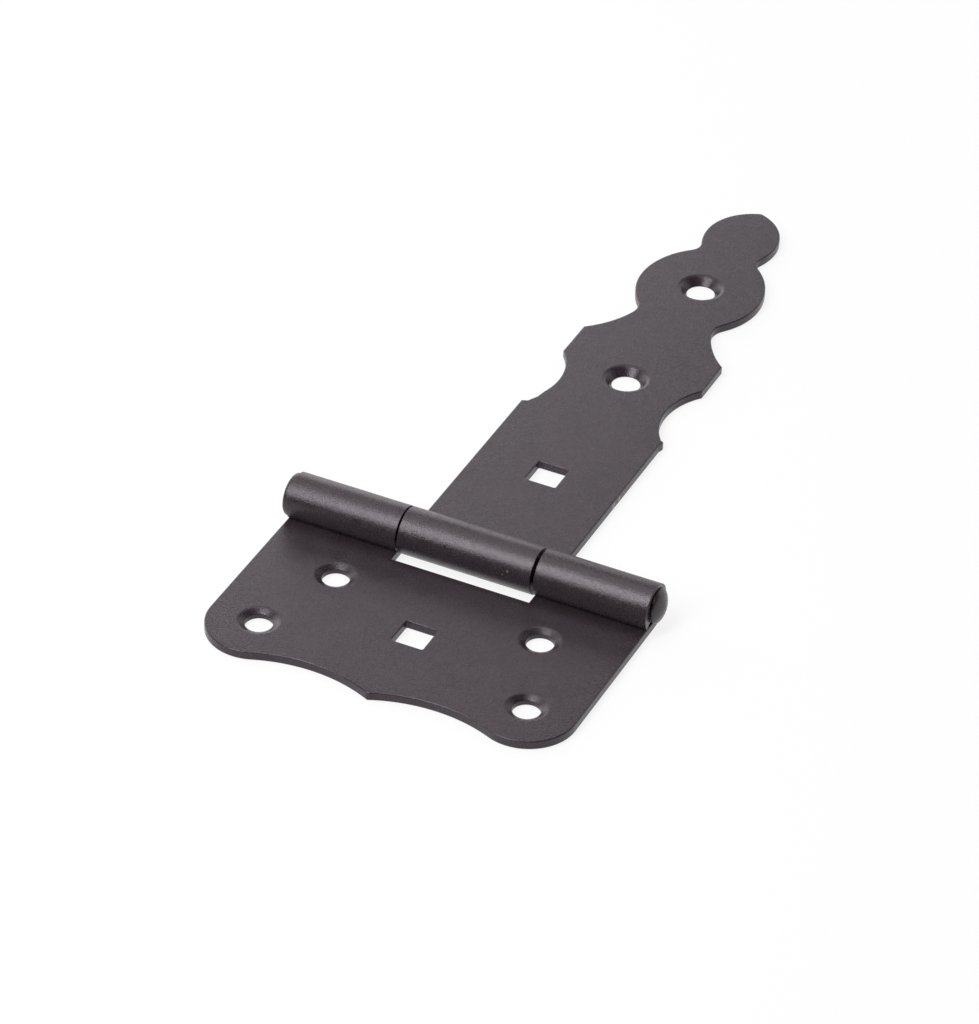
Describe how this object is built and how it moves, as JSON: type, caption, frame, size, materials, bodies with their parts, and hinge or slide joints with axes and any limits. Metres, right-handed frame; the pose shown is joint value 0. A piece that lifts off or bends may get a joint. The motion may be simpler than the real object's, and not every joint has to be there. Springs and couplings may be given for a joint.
{
  "type": "strap hinge",
  "caption": "Ornamental T hinge: a wide slotted leaf and a long scalloped strap leaf of coated steel sheet turn about a pin through rolled knuckles.",
  "frame": {"origin": "on the mounting surface, straight under the pin axis, at mid width", "axes": "+X along the pin, towards its peened tail; +Y towards the strap's pointed head; +Z out of the mounting surface, towards the knuckles"},
  "size_m": [0.0895, 0.2078, 0.0108],
  "materials": {
    "leaf_coat": "fine-grained dark powder coat",
    "pin_coat": "fine-grained dark powder coat"
  },
  "bodies": {
    "bracket": {"bracket_leaf": "leaf_coat", "hinge_pin": "pin_coat"},
    "strap": {"strap_leaf": "leaf_coat"}
  },
  "joints": [
    {"name": "strap_swing", "type": "hinge", "parent": "bracket", "child": "strap", "pos_m": [0, 0, 0.00538], "axis": [1, 0, 0], "range_deg": [-103, 180]}
  ]
}
